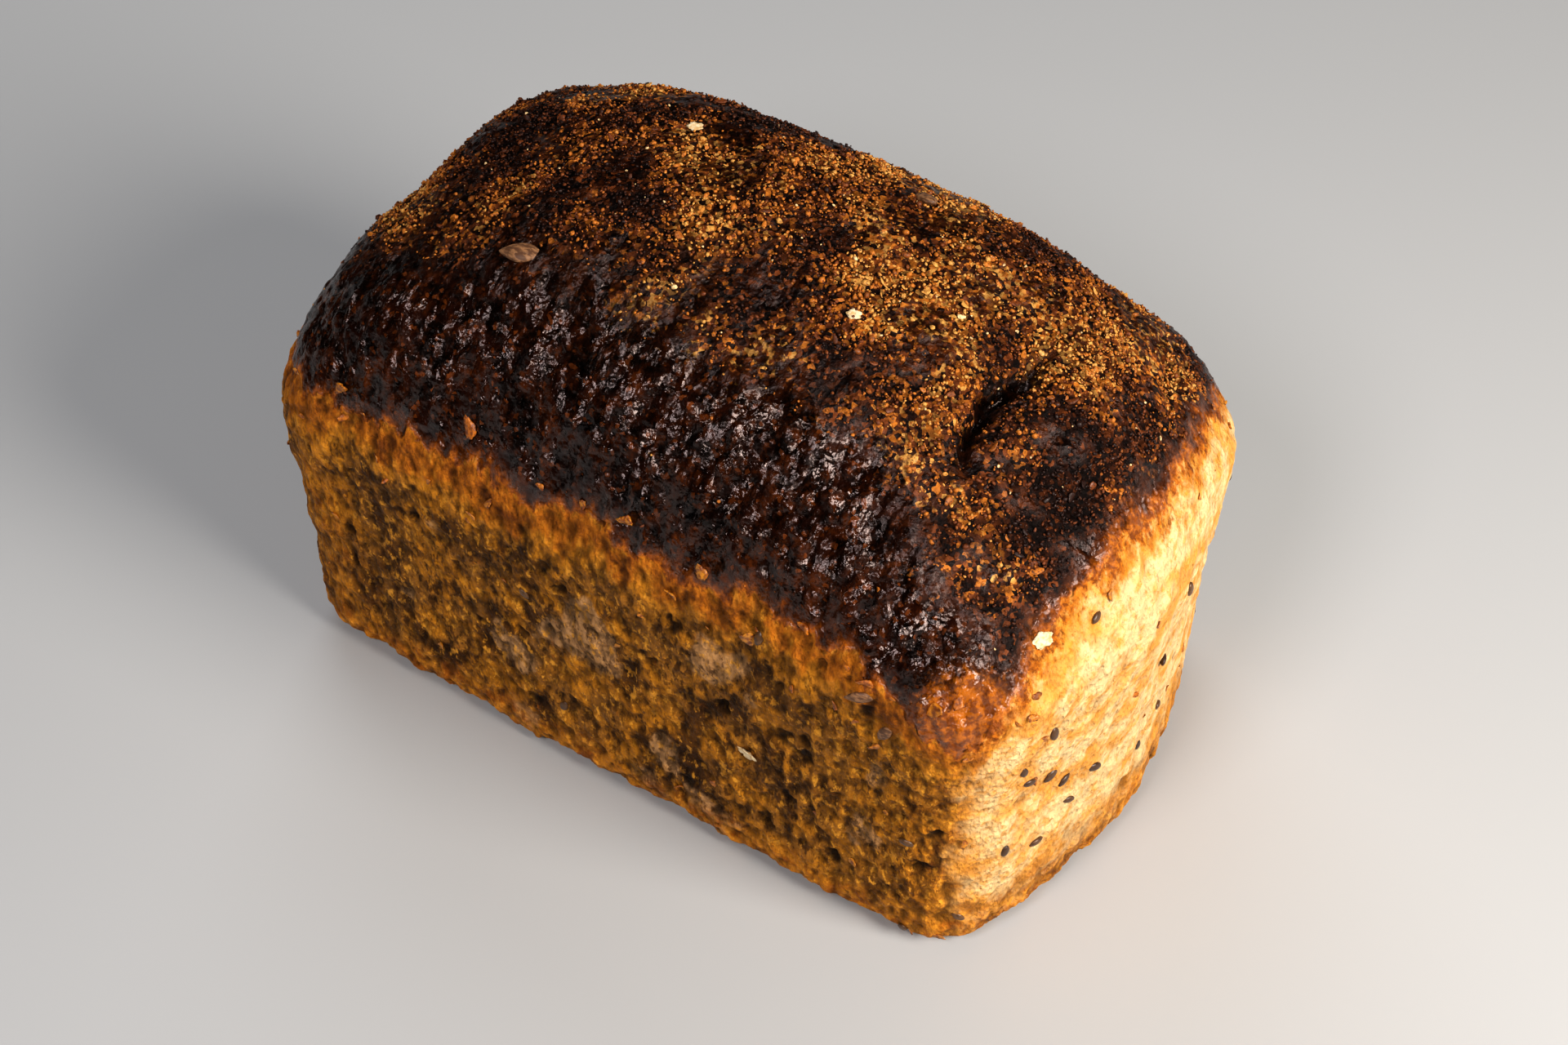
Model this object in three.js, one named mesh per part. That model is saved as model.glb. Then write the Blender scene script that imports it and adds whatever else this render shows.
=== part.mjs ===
// A tin loaf: bread dough baked in an open tin, so it has upright walls, a rounded foot and a high domed top.
// One solid, because the real loaf is one baked piece.
// Millimetres. +X runs along the loaf, +Y across it and +Z up. The origin is the middle of the base.
import * as THREE from "three";
import { mergeVertices } from "three/addons/utils/BufferGeometryUtils.js";

// Driving dimensions of the loaf
const LENGTH = 208; // over the two bowed ends, without the rim roll
const WIDTH = 123.5; // across the side walls
const WALL_HEIGHT = 80; // from the base to the line where the dough stood at the tin's rim
const DOME_RISE = 57; // from that line to the crown
const DOME_LEAN = 2; // how much higher the dough rose toward the +Y side
const RIGHT_END_BOW = 14; // how far the +X end wall swells past its corners
const LEFT_END_BOW = 3.5; // how far the -X end wall swells past its corners
const END_BOW_POWER = 1.6; // 2 is a plain arc, lower comes to a blunter point
const SIDE_BOW = 1; // how far each long wall swells past its corners
const CORNER_RADIUS = 13; // upright corners, seen from above
const SMALLEST_CORNER_RADIUS = 1; // what the base keeps when a large foot draws the corners in
const FOOT_RADIUS = 5.5; // edge between walls and base

// The soft roll of crust where the dough rose past the tin's rim
const RIM_ROLL = 2; // how far it stands out
const RIM_ROLL_REACH = 18; // how far it spreads, up and down

// Fullness of the dome from crown to rim: 2 is an ellipse, higher is boxier
const FULLNESS_RIGHT = 3.3; // toward the +X end
const FULLNESS_LEFT = 2.8; // toward the -X end
const FULLNESS_ACROSS = 2.65;
const CROWN_ROUNDNESS = 2.7; // shape of the dome's upper level lines: 2 is round, higher is squarer
const RIM_GRIP = 3; // how close to the rim the level lines take the shape of the outline

// The fold across the top, near the right end, with the swelling of dough on its far side
const FOLD_FROM_END = 43; // from the right end to the fold
const FOLD_OFFSET = -4; // middle of the fold, across the loaf
const FOLD_LENGTH = 46;
const FOLD_WIDTH = 11;
const FOLD_DEPTH = 4;

// The slow unevenness of hand-shaped dough
const LUMP_HEIGHT = 1;
const LUMP_PITCH = 52; // from one lump to the next
const LUMP_FADE = 30; // height over which the lumps of the dome fade out down the straight walls
// The two waves that make the lumps: turns per pitch, and where each starts in radians
const FLAT_WAVE = { along: 0.7, across: 0.9, alongStart: 1.3, acrossStart: -0.6 };
const UPRIGHT_WAVE = { along: 0.45, up: 0.8, start: 2.1, share: 0.6 };

// Mesh density: cells along, across and up
const CELLS_ALONG = 34;
const CELLS_ACROSS = 20;
const CELLS_UP = 10;
const FOOT_CROWDING = 1.5; // above 1, the rows of cells crowd toward the foot

const CORNER_HALF_LENGTH = (LENGTH - RIGHT_END_BOW - LEFT_END_BOW) / 2;
const CORNER_HALF_WIDTH = WIDTH / 2 - SIDE_BOW;
const CORNER_MIDDLE = (LEFT_END_BOW - RIGHT_END_BOW) / 2; // the four corners' middle, along the loaf

// A point of the square -1..1 moved onto the same place in a rounded rectangle of the given half sizes.
function roundedRectangle(a, b, halfLength, halfWidth, radius) {
  const ring = Math.max(Math.abs(a), Math.abs(b));
  if (ring === 0) return { x: 0, y: 0 };
  const edge = new THREE.Vector2((halfLength * a) / ring, (halfWidth * b) / ring);
  const centre = new THREE.Vector2(
    THREE.MathUtils.clamp(edge.x, radius - halfLength, halfLength - radius),
    THREE.MathUtils.clamp(edge.y, radius - halfWidth, halfWidth - radius),
  );
  const spoke = edge.sub(centre);
  if (spoke.x !== 0 && spoke.y !== 0) spoke.setLength(radius);
  return centre.add(spoke).multiplyScalar(ring);
}

// The loaf's outline seen from above, drawn in by an inset, with its ends and sides swelling outward.
function outline(a, b, inset) {
  const halfLength = CORNER_HALF_LENGTH - inset;
  const halfWidth = CORNER_HALF_WIDTH - inset;
  const radius = Math.max(CORNER_RADIUS - inset, SMALLEST_CORNER_RADIUS);
  const { x, y } = roundedRectangle(a, b, halfLength, halfWidth, radius);
  const along = x / halfLength;
  const across = y / halfWidth;
  const endBow = x > 0 ? RIGHT_END_BOW : -LEFT_END_BOW;
  return {
    x: CORNER_MIDDLE + x + endBow * along ** 4 * (1 - Math.abs(across) ** END_BOW_POWER),
    y: y + Math.sign(y) * SIDE_BOW * across ** 4 * (1 - along ** 2),
    along,
    across,
  };
}

// How far the rim roll pushes the surface out at a height.
function rimRoll(z) {
  return RIM_ROLL * Math.exp(-(((z - WALL_HEIGHT) / RIM_ROLL_REACH) ** 2));
}

// How far the rounded foot draws the wall in at a height.
function footInset(z) {
  if (z >= FOOT_RADIUS) return 0;
  return FOOT_RADIUS - Math.sqrt(FOOT_RADIUS ** 2 - (FOOT_RADIUS - z) ** 2);
}

function wallPoint(a, b, rise) {
  const z = WALL_HEIGHT * rise ** FOOT_CROWDING;
  const { x, y } = outline(a, b, footInset(z) - rimRoll(z));
  return new THREE.Vector3(x, y, z);
}

function basePoint(a, b) {
  const { x, y } = outline(a, b, FOOT_RADIUS - rimRoll(0));
  return new THREE.Vector3(x, y, 0);
}

// Height of the dome, 0 at the rim to 1 at the crown. Its level lines are round near the crown
// and take the shape of the outline near the rim, where reach is 1.
function domeShape(along, across, reach) {
  const lengthwise = along ** 2;
  const crosswise = across ** 2;
  if (lengthwise + crosswise === 0) return 1;
  const fullnessAlong = along > 0 ? FULLNESS_RIGHT : FULLNESS_LEFT;
  const fullness = (fullnessAlong * lengthwise + FULLNESS_ACROSS * crosswise) / (lengthwise + crosswise);
  const rounded = (Math.abs(along) ** CROWN_ROUNDNESS + Math.abs(across) ** CROWN_ROUNDNESS)
    ** (1 / CROWN_ROUNDNESS);
  const level = THREE.MathUtils.lerp(rounded, reach, reach ** RIM_GRIP);
  return Math.sqrt(1 - Math.min(level, 1) ** fullness);
}

// Depth of the fold at a point of the top.
function foldDepth(x, y) {
  const across = (x - (LENGTH / 2 - FOLD_FROM_END)) / (FOLD_WIDTH / 2);
  const along = (y - FOLD_OFFSET) / (FOLD_LENGTH / 2);
  return FOLD_DEPTH * Math.exp(-(across ** 2)) * Math.exp(-(along ** 4));
}

function topPoint(a, b) {
  const ring = Math.max(Math.abs(a), Math.abs(b));
  const reach = Math.sin((ring * Math.PI) / 2);
  const scale = ring === 0 ? 0 : reach / ring;
  const { along, across } = outline(a * scale, b * scale, 0);
  const crown = domeShape(along, across, reach);
  const z = WALL_HEIGHT + (DOME_RISE + DOME_LEAN * across) * crown;
  const { x, y } = outline(a * scale, b * scale, -rimRoll(z));
  return new THREE.Vector3(x, y, z - crown * foldDepth(x, y));
}

// Slow bulges and hollows, pushed away from the middle of the loaf and faded out above the base.
function addLumps(point) {
  const turn = (2 * Math.PI) / LUMP_PITCH;
  const { x, y, z } = point;
  const flatWave = Math.sin(x * turn * FLAT_WAVE.along + FLAT_WAVE.alongStart)
    * Math.cos(y * turn * FLAT_WAVE.across + FLAT_WAVE.acrossStart);
  const uprightWave = Math.sin((z * UPRIGHT_WAVE.up + x * UPRIGHT_WAVE.along) * turn + UPRIGHT_WAVE.start);
  const wave = flatWave + UPRIGHT_WAVE.share * uprightWave;
  const fade = THREE.MathUtils.smoothstep(z, WALL_HEIGHT - LUMP_FADE, WALL_HEIGHT + LUMP_FADE);
  const middle = new THREE.Vector3(
    THREE.MathUtils.clamp(x, -CORNER_HALF_LENGTH / 2, CORNER_HALF_LENGTH / 2),
    0,
    Math.min(z, WALL_HEIGHT),
  );
  const outward = point.clone().sub(middle).normalize();
  return point.addScaledVector(outward, LUMP_HEIGHT * wave * fade);
}

// A box grid whose walls, top and base are each moved onto the loaf.
function loafGeometry() {
  const grid = new THREE.BoxGeometry(2, 2, 2, CELLS_ALONG, CELLS_ACROSS, CELLS_UP);
  grid.deleteAttribute("normal");
  grid.deleteAttribute("uv");
  const body = mergeVertices(grid);
  const position = body.getAttribute("position");
  const corner = new THREE.Vector3();
  for (let i = 0; i < position.count; i += 1) {
    corner.fromBufferAttribute(position, i);
    const { x: a, y: b, z: c } = corner;
    let point;
    if (c === 1) point = topPoint(a, b);
    else if (c === -1) point = basePoint(a, b);
    else point = wallPoint(a, b, (c + 1) / 2);
    addLumps(point);
    position.setXYZ(i, point.x, point.y, point.z);
  }
  body.computeVertexNormals();
  return body;
}

const crust = new THREE.MeshStandardMaterial({ color: 0x8a5224, roughness: 0.75, metalness: 0 });
const loaf = new THREE.Mesh(loafGeometry(), crust);
loaf.name = "loaf";

const tinLoaf = new THREE.Group();
tinLoaf.add(loaf);

export default tinLoaf;
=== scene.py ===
"""A seeded tin loaf: the finished look of the part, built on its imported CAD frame.

The crust is one fine mesh, grown from the CAD solid and roughened by seeded noise, with a procedural
material. Bran, seeds and flakes lie on it as real geometry. The sculpting is done in millimetres,
in the frame's own axes: +X along the loaf, +Y across it and +Z up from the base.
"""

import math

import bmesh
import bpy
import numpy as np
from mathutils import Matrix, Vector
from mathutils.bvhtree import BVHTree


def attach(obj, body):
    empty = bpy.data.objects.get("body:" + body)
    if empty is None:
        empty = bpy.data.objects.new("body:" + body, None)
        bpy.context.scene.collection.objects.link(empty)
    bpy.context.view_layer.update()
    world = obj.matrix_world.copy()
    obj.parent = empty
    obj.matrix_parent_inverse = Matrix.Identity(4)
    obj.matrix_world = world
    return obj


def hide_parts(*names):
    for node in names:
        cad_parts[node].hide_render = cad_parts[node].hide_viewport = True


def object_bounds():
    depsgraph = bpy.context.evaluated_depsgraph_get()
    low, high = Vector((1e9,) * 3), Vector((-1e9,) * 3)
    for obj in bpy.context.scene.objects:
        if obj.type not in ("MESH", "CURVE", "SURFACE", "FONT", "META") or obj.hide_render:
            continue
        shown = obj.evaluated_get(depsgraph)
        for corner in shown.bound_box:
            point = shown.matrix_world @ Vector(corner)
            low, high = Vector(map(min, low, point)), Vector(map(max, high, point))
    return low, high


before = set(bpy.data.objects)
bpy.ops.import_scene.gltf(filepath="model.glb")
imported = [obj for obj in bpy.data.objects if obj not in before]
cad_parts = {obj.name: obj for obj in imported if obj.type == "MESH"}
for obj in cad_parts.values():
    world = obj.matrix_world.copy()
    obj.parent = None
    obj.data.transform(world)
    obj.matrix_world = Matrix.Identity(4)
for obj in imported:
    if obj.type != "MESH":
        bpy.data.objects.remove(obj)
CAD_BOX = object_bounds()

MM = 0.001  # one millimetre in Blender's metres
LOW, HIGH = (np.array(corner) / MM for corner in CAD_BOX)
RIM = 0.58 * HIGH[2]  # height of the tin's rim on the loaf

# Camera, at the photograph's angle
CAMERA_AZIMUTH = 33.1  # degrees
CAMERA_ELEVATION = 48.15
CAMERA_ROLL = 0.2
CAMERA_DISTANCE = 0.610  # metres
CAMERA_AIM = (0.0054, -0.0008, 0.045)
CAMERA_LENS = 58.0  # mm
SENSOR_WIDTH = 36  # mm
CLIP_START = 0.01  # metres

# Lamps: azimuth and elevation in degrees, distance and size in metres, watts, colour
WINDOW_LIGHT = (86, 38, 0.9, 0.40, 9.5, (1.0, 0.96, 0.90))
TOP_LIGHT = (2, 50, 1.0, 0.30, 4.2, (0.98, 0.97, 1.0))
BACK_LIGHT = (-135, 32, 1.3, 1.00, 7, (0.90, 0.95, 1.0))
ROOM_COLOUR = (0.96, 0.97, 1.0)
ROOM_LIGHT = 0.10  # strength of the room's light on the loaf
ROOM_SEEN = 0.50  # strength of the room as the camera sees it

FLOOR_RADIUS = 1.3  # metres
FLOOR_SIDES = 96
FLOOR_GAP = 0.05  # mm
FLOOR_COLOUR = (0.42, 0.415, 0.41)

# Crust mesh
GRID = 0.6  # mm, the fine grid's spacing
ROUNDING_PASSES = 20  # smoothing of the grid before it is roughened
SEAT_HEIGHT = 0.3  # mm, points of the smooth form below this lie flat on the floor
CHART_GAP = 4  # mm between the charts of the crust's UV map

# Where the crust changes, in mm
DARK_EDGE_ABOVE_RIM = 15  # lower edge of the dark crust on the long walls
DARK_EDGE_AT_END = 22  # the same on the right end, where the dark crust stops higher
CORNER_DIP = 14  # how far the dark crust runs down at the upright corners
AMBER_BAND = 24  # height of the golden band under the dark crust
FOLD_X = HIGH[0] - 42  # middle of the fold across the top
FOLD_Y = -8
FOLD_HALF_LENGTH = 20

SEED = 20  # of the random choices; noise calls end with a seed of their own


# ---------------------------------------------------------------- numbers

def smoothstep(start, end, value):
    t = np.clip((value - start) / (end - start), 0, 1)
    return t * t * (3 - 2 * t)


def bell(value, width):
    return np.exp(-(value / width) ** 2)


def hash01(cell, salt):
    """A repeatable random number from 0 to 1 for each whole-numbered cell."""
    n = cell[:, 0] * 73856093 ^ cell[:, 1] * 19349663 ^ cell[:, 2] * 83492791 ^ (salt + 1) * 2654435761
    n &= 0xFFFFFFFF
    for factor in (0x7FEB352D, 0x846CA68B):
        n ^= n >> 16
        n = n * factor & 0xFFFFFFFF
    n ^= n >> 15
    return n / 4294967296.0


def noise(points, pitch, salt=0):
    """Smooth noise of about -1 to 1. The pitch, one number or three, is the size of its lumps in mm."""
    q = points / pitch
    base = np.floor(q).astype(np.int64)
    part = q - base
    fade = part ** 3 * (part * (part * 6 - 15) + 10)
    total = np.zeros(len(points))
    for corner in np.ndindex(2, 2, 2):
        cell = base + corner
        slope = np.stack([hash01(cell, salt * 3 + k) for k in range(3)], 1) * 2 - 1
        weight = np.where(corner, fade, 1 - fade).prod(1)
        total += weight * (slope * (part - corner)).sum(1)
    return total * 1.7


def layered_noise(points, pitch, layers, salt=0):
    pitch = np.asarray(pitch, float)
    return sum(noise(points, pitch / 2 ** k, salt + 17 * k) / 2 ** k for k in range(layers))


def cells(points, pitch, salt=0):
    """Cell noise: distance to the nearest seed point, in pitches, and that cell's random number."""
    q = points / pitch
    base = np.floor(q).astype(np.int64)
    near = np.full(len(points), 9.0)
    pick = np.zeros(len(points))
    for step in np.ndindex(3, 3, 3):
        cell = base + step - 1
        seed = cell + np.stack([hash01(cell, salt * 5 + k) for k in range(3)], 1)
        distance = np.linalg.norm(seed - q, axis=1)
        closer = distance < near
        pick = np.where(closer, hash01(cell, salt * 5 + 3), pick)
        near = np.minimum(near, distance)
    return near, pick


# ---------------------------------------------------------------- camera, light and floor

def link(name, data):
    obj = bpy.data.objects.new(name, data)
    bpy.context.scene.collection.objects.link(obj)
    return obj


def direction(azimuth, elevation):
    """The unit vector toward a viewer at this azimuth and elevation. Azimuth 0 looks along +Y."""
    a, e = math.radians(azimuth), math.radians(elevation)
    return Vector((math.sin(a) * math.cos(e), -math.cos(a) * math.cos(e), math.sin(e)))


def add_camera():
    lens = bpy.data.cameras.new("camera")
    lens.lens = CAMERA_LENS
    lens.sensor_width = SENSOR_WIDTH
    lens.clip_start = CLIP_START
    camera = link("camera", lens)
    back = direction(CAMERA_AZIMUTH, CAMERA_ELEVATION)
    camera.location = Vector(CAMERA_AIM) + back * CAMERA_DISTANCE
    roll = Matrix.Rotation(math.radians(CAMERA_ROLL), 4, "Z")
    camera.rotation_euler = (back.to_track_quat("Z", "Y").to_matrix().to_4x4() @ roll).to_euler()
    bpy.context.scene.camera = camera


def add_light(name, azimuth, elevation, distance, size, watts, colour):
    lamp = bpy.data.lights.new(name, "AREA")
    lamp.shape = "DISK"
    lamp.size = size
    lamp.energy = watts
    lamp.color = colour
    obj = link(name, lamp)
    back = direction(azimuth, elevation)
    obj.location = back * distance
    obj.rotation_euler = back.to_track_quat("Z", "Y").to_euler()
    return obj


def add_studio():
    add_light("window_light", *WINDOW_LIGHT)
    add_light("top_light", *TOP_LIGHT)
    back_light = add_light("back_light", *BACK_LIGHT)
    back_light.visible_glossy = False  # it fills the far sides without greying the glossy crust
    world = bpy.data.worlds.new("studio")
    world.use_nodes = True
    nodes, links = world.node_tree.nodes, world.node_tree.links
    # The room looks pale behind the loaf, but gives only a little light
    strength = nodes.new("ShaderNodeMapRange")
    strength.inputs["To Min"].default_value = ROOM_LIGHT
    strength.inputs["To Max"].default_value = ROOM_SEEN
    light_path = nodes.new("ShaderNodeLightPath")
    links.new(light_path.outputs["Is Camera Ray"], strength.inputs["Value"])
    links.new(strength.outputs["Result"], nodes["Background"].inputs["Strength"])
    nodes["Background"].inputs["Color"].default_value = (*ROOM_COLOUR, 1)
    bpy.context.scene.world = world
    world.cycles_visibility.glossy = False
    bpy.context.scene.view_settings.view_transform = "Standard"
    bpy.context.scene.view_settings.look = "Medium High Contrast"


def add_floor():
    """A round pale floor a hair below the loaf's base, so that the two never fall in one plane."""
    turns = np.linspace(0, 2 * math.pi, FLOOR_SIDES, endpoint=False)
    ring = [(FLOOR_RADIUS * math.cos(t), FLOOR_RADIUS * math.sin(t), -FLOOR_GAP * MM) for t in turns]
    mesh = bpy.data.meshes.new("floor")
    mesh.from_pydata(ring, [], [tuple(range(FLOOR_SIDES))])
    floor = link("floor", mesh)
    material = bpy.data.materials.new("pale_floor")
    material.use_nodes = True
    shader = material.node_tree.nodes["Principled BSDF"]
    shader.inputs["Base Color"].default_value = (*FLOOR_COLOUR, 1)
    shader.inputs["Roughness"].default_value = 0.8
    mesh.materials.append(material)


# ---------------------------------------------------------------- the crust's smooth form

def evaluated_mesh(obj):
    bpy.context.view_layer.update()
    depsgraph = bpy.context.evaluated_depsgraph_get()
    return bpy.data.meshes.new_from_object(obj.evaluated_get(depsgraph))


def read_points(mesh, what="co"):
    values = np.empty(len(mesh.vertices) * 3, np.float32)
    mesh.vertices.foreach_get(what, values)
    return values.reshape(-1, 3).astype(float)


def write_points(mesh, points):
    mesh.vertices.foreach_set("co", points.astype(np.float32).ravel())
    mesh.update()


def relax(points, edges, passes):
    """Moves each point halfway to the mean of its neighbours, again and again."""
    a, b = edges.T
    count = np.bincount(np.concatenate([a, b]), minlength=len(points))[:, None]
    for _ in range(passes):
        total = np.stack([
            np.bincount(a, points[b, k], len(points)) + np.bincount(b, points[a, k], len(points))
            for k in range(3)
        ], 1)
        points = (points + total / count) / 2
    return points


def smooth_loaf_mesh():
    """The CAD loaf on a fine even grid of quads, with its facets rounded off. It sits flat on z = 0."""
    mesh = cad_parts["loaf"].data.copy()
    mesh.materials.clear()
    cage = bmesh.new()
    cage.from_mesh(mesh)
    bmesh.ops.remove_doubles(cage, verts=cage.verts, dist=1e-6)
    bmesh.ops.join_triangles(cage, faces=cage.faces, angle_face_threshold=0.7, angle_shape_threshold=0.9)
    cage.to_mesh(mesh)
    cage.free()
    form = link("form", mesh)
    rounded = form.modifiers.new("rounded", "SUBSURF")
    rounded.levels = 2
    even = form.modifiers.new("even", "REMESH")
    even.mode = "VOXEL"
    even.voxel_size = GRID * MM
    fine = evaluated_mesh(form)
    bpy.data.objects.remove(form)
    edges = np.empty(len(fine.edges) * 2, np.int64)
    fine.edges.foreach_get("vertices", edges)
    points = relax(read_points(fine), edges.reshape(-1, 2), ROUNDING_PASSES)
    points[:, 2] -= points[:, 2].min()
    points[points[:, 2] < SEAT_HEIGHT * MM, 2] = 0
    write_points(fine, points)
    return fine


# ---------------------------------------------------------------- where each kind of crust lies

def crust_zones(p, n):
    """Soft masks, 0 to 1, for the kinds of crust at each point of the smooth loaf."""
    x, y, z = p.T
    right = smoothstep(HIGH[0] - 24, HIGH[0] - 9, x + 2 * noise(p, 9, 40))
    wander = 4.5 * noise(p, (21, 21, 60), 41) + 3 * noise(p, (7, 7, 30), 42)
    wander += 2.6 * noise(p, (2.4, 2.4, 10), 43)
    to_corner = np.hypot(HIGH[0] - 18 - np.abs(x), HIGH[1] - 4 - np.abs(y))
    near_corner = smoothstep(0, 60, x) * smoothstep(0, -40, y)
    corner_dip = CORNER_DIP * (0.35 + 0.65 * near_corner) * bell(to_corner, 17)
    edge = RIM + DARK_EDGE_ABOVE_RIM * (1 - right) + DARK_EDGE_AT_END * right - corner_dip + wander
    dark = smoothstep(-7 - 4 * right, 5 + 7 * right, z - edge)
    band = AMBER_BAND * (1 - 0.45 * right)
    amber = smoothstep(-1, -0.1, (z - edge + 4 * noise(p, (5, 5, 14), 44)) / band) * (1 - dark)

    crest = smoothstep(-42, -20, y + 8 * layered_noise(p, 16, 3, 45))
    by_end = smoothstep(HIGH[0] - 52, HIGH[0] - 34, x + 7 * noise(p, 12, 46)) * smoothstep(-52, -40, y)
    patches = 0.35 + 0.65 * smoothstep(-0.55, 0.1, layered_noise(p, 13, 3, 47))
    crumbs = np.clip(crest + by_end, 0, 1) * patches * smoothstep(0, 12, z - edge)
    # Painted light: the crumbs and bran are made lighter in a broad spot in the middle of the top and on the
    # lip beside the fold; the noise in the toast mask is the crust's own uneven toasting
    middle_spot = 0.5 * bell(np.hypot(x - 25, y - 5), 42)
    lit_spots = middle_spot + 0.8 * bell(np.hypot(x - FOLD_X + 10, y - FOLD_Y), 9)
    toast_and_light = smoothstep(-0.5, 0.8, layered_noise(p, 26, 3, 51) + lit_spots)

    end_wall = smoothstep(0.45, 0.8, n[:, 0] + 0.12 * noise(p, 8, 48)) * (1 - dark)
    low_edge = smoothstep(18 + 7 * end_wall, 6, z + 5 * noise(p, 10, 49))
    upright = bell(to_corner + 4, 11) * smoothstep(RIM + 8, RIM - 30, z)
    scorch = smoothstep(0.1, 0.7, layered_noise(p, 30, 3, 50)) * dark
    rub_place = 0.9 * bell(np.hypot((x + 6) / 24, (z - 52) / 15), 1) * smoothstep(-40, -55, y)
    rubbed = smoothstep(0.35, 0.9, layered_noise(p, (20, 20, 28), 3, 52) + rub_place) * (1 - dark)
    nose = bell(np.linalg.norm(p - np.array([HIGH[0] - 19, LOW[1] + 7, RIM + 8]), axis=1), 14)
    gold = smoothstep(35, 95, x) * smoothstep(-40, -55, y)
    return {
        "dark": dark,
        "amber": amber,
        "crumbs": crumbs,
        "pale": end_wall * (1 - 0.75 * low_edge),
        "foot": np.maximum(low_edge, 0.7 * upright) * (1 - dark),
        "scorch": scorch,
        "toast_and_light": toast_and_light,
        "rubbed": rubbed,
        "nose": nose,
        "gold": gold,
        "under": smoothstep(-0.5, -0.9, n[:, 2]),
    }


# ---------------------------------------------------------------- the crust's relief

def wrinkled_skin(p, n):
    """Blisters and wrinkles of the glossy crust, drawn out up and down the slope of the dome."""
    warped = p + 1.3 * np.stack([noise(p, 5, 60 + k) for k in range(3)], 1)
    facing_end = n[:, 0] ** 2 / (n[:, 0] ** 2 + n[:, 1] ** 2 + 0.02)
    steep = smoothstep(0.97, 0.75, n[:, 2])
    heights = []
    for pitch, tall, salt in ((3.1, 1.0, 63), (1.9, 0.35, 64)):
        side_near, side_pick = cells(warped, np.array([pitch, pitch * 2.3, pitch * 2.3]), salt)
        end_near, end_pick = cells(warped, np.array([pitch * 2.3, pitch, pitch * 2.3]), salt)
        side = np.clip(1 - (side_near / 0.8) ** 2, 0, 1) * (0.35 + 0.65 * side_pick)
        end = np.clip(1 - (end_near / 0.8) ** 2, 0, 1) * (0.35 + 0.65 * end_pick)
        heights.append(tall * (side * (1 - facing_end) + end * facing_end) * (0.55 + 0.45 * steep))
    folds = 0.22 * (1 - 2 * np.abs(noise(warped, 6.5, 65)))
    craggy = 0.85 + 0.75 * smoothstep(-20, 70, p[:, 0])
    return craggy * sum(heights) + folds + 0.15 * noise(p, 1.9, 66)


def granular_crust(p):
    near, pick = cells(p, 1.8, 70)
    grains = 0.5 * np.clip(1 - (near / 0.7) ** 2, 0, 1) * pick
    return grains + 0.55 * layered_noise(p, 5.5, 3, 71) + 0.35 * noise(p, 1.6, 72)


def wall_crust(p):
    """Tin-baked wall: nearly flat, dragged upward, pitted. Returns the relief and the mask of its pits."""
    drag = 0.26 * noise(p, (2.1, 2.1, 5), 80) + 0.2 * noise(p, (1.3, 1.3, 2.6), 81)
    warped = p + 1.5 * np.stack([noise(p, 2.6, 84 + k) for k in range(3)], 1)
    near, pick = cells(warped, (8, 8, 9.5), 87)
    pits = smoothstep(0.3, 0.1, near / (0.2 + pick)) * (pick > 0.80)
    near, pick = cells(warped, (2.4, 2.4, 3.2), 88)
    pores = smoothstep(0.45, 0.15, near) * (pick > 0.80)
    ragged = 0.5 * layered_noise(p, (3.4, 3.4, 5.5), 3, 83)
    relief = drag + ragged - 0.8 * pits - 0.3 * pores
    return relief, np.clip(pits + 0.35 * pores, 0, 1)


def fold_relief(p):
    """The fold across the top: a narrow wandering valley with a lip on each side."""
    x, y, _ = p.T
    middle = FOLD_X + 2.4 * np.sin(y / 6.5) + 2.5 * noise(p, 8, 90)
    away = x - middle
    along = np.clip(1 - np.abs((y - FOLD_Y) / FOLD_HALF_LENGTH) ** 3, 0, 1)
    valley = -3.6 * bell(away, 1.6) - 1.0 * bell(away, 4)
    lips = 0.5 * bell(away + 6, 5) + 0.8 * bell(away - 6, 5)
    return (valley + lips) * along, bell(away, 2.2) * along


def foot_bites(p):
    """Small losses and rough lumps along the bottom edge."""
    near, pick = cells(p * (1, 1, 0.4), 10.5, 95)
    bites = smoothstep(0.5, 0.2, near) * (pick > 0.62)
    return -1.9 * bites + 0.6 * noise(p, 3.2, 96)


def crust_relief(p, n, zones):
    """How far points move along their normals in mm, the fine part of that, and masks of pits and creases."""
    z = p[:, 2]
    dome = smoothstep(RIM - 4, RIM + 14, z)
    glossy = zones["dark"] * (1 - zones["crumbs"])
    wall, pits = wall_crust(p)
    fold, crease = fold_relief(p)
    ridge = 0.9 * bell(p[:, 1] + 5, 7) * smoothstep(62, 45, np.abs(p[:, 0]))
    broad = dome * (1.0 * layered_noise(p, 24, 2, 98) + ridge + fold)
    broad += (1 - zones["dark"]) * (0.6 * layered_noise(p, 19, 2, 82) + 0.45 * noise(p, 7, 85))
    fine = glossy * wrinkled_skin(p, n) + zones["crumbs"] * granular_crust(p)
    fine += (1 - zones["dark"]) * wall * (1 - 0.4 * zones["pale"])
    relief = broad + fine + smoothstep(9, 2.5, z) * foot_bites(p) * (1 - zones["under"])
    seat = smoothstep(0.2, 2.2, z)
    relief = np.where(relief > 0, relief * seat, relief * np.maximum(seat, 0.4 * zones["under"]))
    return relief, fine, pits * (1 - zones["dark"]) * (1 - 0.8 * zones["pale"]), crease * dome


# ---------------------------------------------------------------- meshes and maps

def add_point_mask(mesh, name, values):
    attribute = mesh.attributes.new(name, "FLOAT", "POINT")
    attribute.data.foreach_set("value", values.astype(np.float32))


def corner_vertices(mesh):
    index = np.empty(len(mesh.loops), np.int64)
    mesh.loops.foreach_get("vertex_index", index)
    return index


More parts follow.
